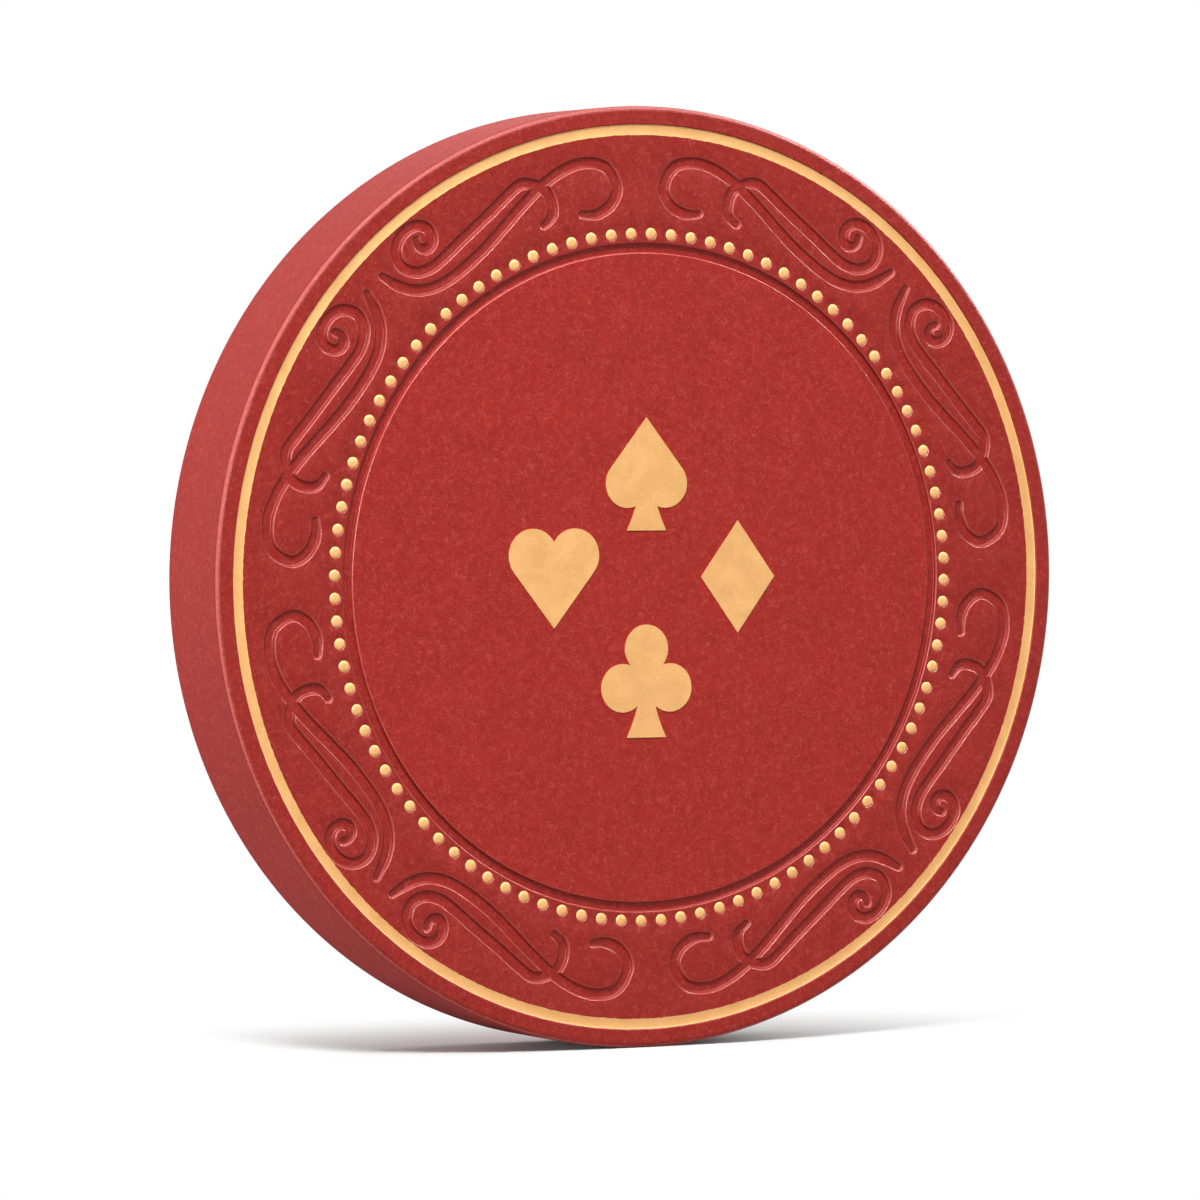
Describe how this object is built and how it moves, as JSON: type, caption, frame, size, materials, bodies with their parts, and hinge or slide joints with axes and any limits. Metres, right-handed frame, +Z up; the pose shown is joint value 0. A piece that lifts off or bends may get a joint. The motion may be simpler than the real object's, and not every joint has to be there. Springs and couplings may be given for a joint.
{
  "type": "poker chip",
  "caption": "Thick round weighted poker chip in red composite with engraved scrolls, gold beads, a gold ring and card-suit foil on an inlaid centre, both faces alike.",
  "frame": {"origin": "on the floor under the middle of the rim, where the standing chip touches it", "axes": "+Z up, +Y along the chip's axis out of the rear face, -Y out of the front face, +X to the right seen from the front"},
  "size_m": [0.04, 0.005, 0.04],
  "materials": {
    "red_composite": "matte, mottled, pressed",
    "gold_foil": "satin gold",
    "slug_steel": "stamped, oiled",
    "adhesive_film": "tacky, translucent"
  },
  "bodies": {
    "root": {"front_shell": "red_composite", "rear_shell": "red_composite", "steel_slug": "slug_steel", "front_inlay": "red_composite", "rear_inlay": "red_composite", "front_adhesive": "adhesive_film", "rear_adhesive": "adhesive_film", "front_gold_ring": "gold_foil", "rear_gold_ring": "gold_foil", "front_beads": "gold_foil", "rear_beads": "gold_foil", "front_spade": "gold_foil", "front_heart": "gold_foil", "front_diamond": "gold_foil", "front_club": "gold_foil", "rear_spade": "gold_foil", "rear_heart": "gold_foil", "rear_diamond": "gold_foil", "rear_club": "gold_foil"}
  },
  "joints": []
}
